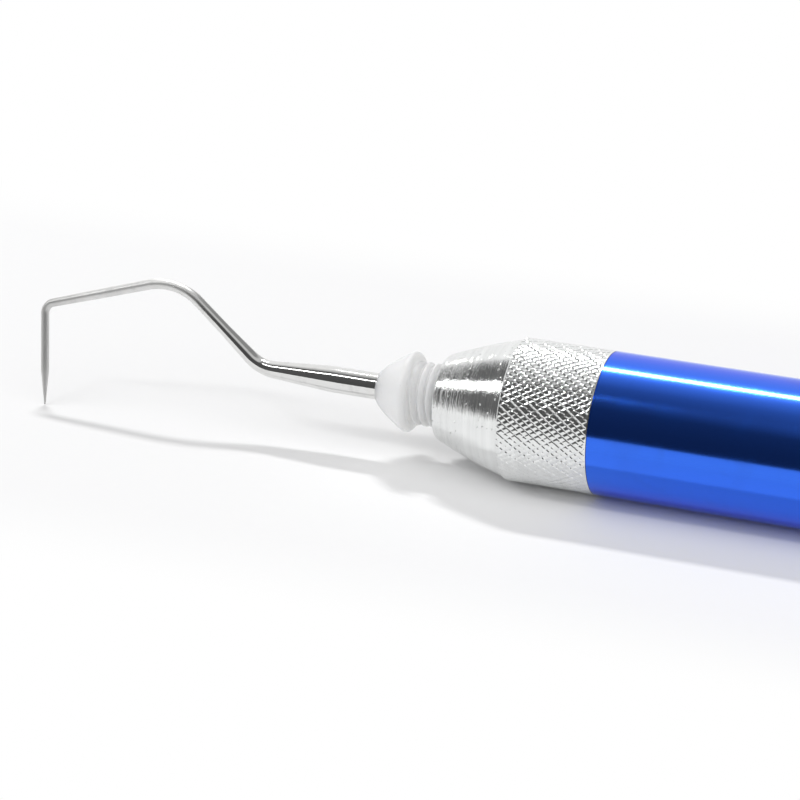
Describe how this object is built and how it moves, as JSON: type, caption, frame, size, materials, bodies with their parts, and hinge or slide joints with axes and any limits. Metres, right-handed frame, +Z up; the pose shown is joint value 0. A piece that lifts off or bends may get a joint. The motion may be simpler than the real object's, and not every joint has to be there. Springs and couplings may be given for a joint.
{
  "type": "vinyl weeding tool",
  "caption": "Pen-shaped weeding tool: a bent, tapered steel hook in a frosted screw-in head, a knurled nose collar, a blue tubular barrel with cells, and a tail cap with a push button.",
  "frame": {"origin": "middle of the underside of the bounding box, on the surface that the tool lies on", "axes": "+X along the tool from the hook's point to the push button, +Z up from that surface, +Y to the left seen from the hook's end looking along +X; the hook's plane leans 18 degrees from vertical about the tool's axis, its apex towards +Y and its point towards -Y"},
  "size_m": [0.1778, 0.0134, 0.0134],
  "materials": {
    "polished_steel": "mirror polished",
    "frosted_plastic": "frosted, translucent",
    "turned_aluminium": "bright turned, with a knurled band",
    "blue_anodised": "gloss blue anodised",
    "ring_rubber": "matt",
    "lamp_epoxy": "clear, glossy",
    "tinned_wire": "tinned",
    "white_plastic": "moulded",
    "button_plastic": "satin",
    "board_laminate": "solder mask",
    "chip_black": "matt",
    "brass": "turned",
    "cell_can": "plated",
    "cell_label": "plain film",
    "spring_steel": "drawn wire",
    "black_plastic": "moulded"
  },
  "bodies": {
    "barrel": {"barrel": "blue_anodised", "battery_front_can": "cell_can", "battery_front_sleeve": "cell_label", "battery_rear_can": "cell_can", "battery_rear_sleeve": "cell_label"},
    "nose": {"nose_collar": "turned_aluminium", "nose_o_ring": "ring_rubber", "led_lamp": "lamp_epoxy", "led_lead_plus": "tinned_wire", "led_lead_minus": "tinned_wire", "led_holder": "white_plastic", "led_board": "board_laminate", "resistor": "chip_black", "board_ring": "brass", "centre_contact": "brass"},
    "hook": {"hook_needle": "polished_steel", "hook_head": "frosted_plastic"},
    "tail": {"tail_cap": "turned_aluminium", "tail_o_ring": "ring_rubber", "battery_spring": "spring_steel", "contact_rivet": "brass", "switch_housing": "black_plastic", "switch_ring": "brass", "return_spring": "spring_steel", "contact_washer": "brass"},
    "button": {"tail_button": "button_plastic", "switch_plunger": "brass"}
  },
  "joints": [
    {"name": "nose_unscrew", "type": "slide", "parent": "barrel", "child": "nose", "axis": [-1, 0, 0], "range_m": [0, 0.008]},
    {"name": "head_unscrew", "type": "slide", "parent": "nose", "child": "hook", "axis": [-1, 0, 0], "range_m": [-0.0027, 0.012]},
    {"name": "tail_unscrew", "type": "slide", "parent": "barrel", "child": "tail", "axis": [1, 0, 0], "range_m": [0, 0.012]},
    {"name": "button_press", "type": "slide", "parent": "tail", "child": "button", "axis": [-1, 0, 0], "range_m": [0, 0.0014], "stiffness_N_per_m": 800, "deforming": ["return_spring"]}
  ]
}
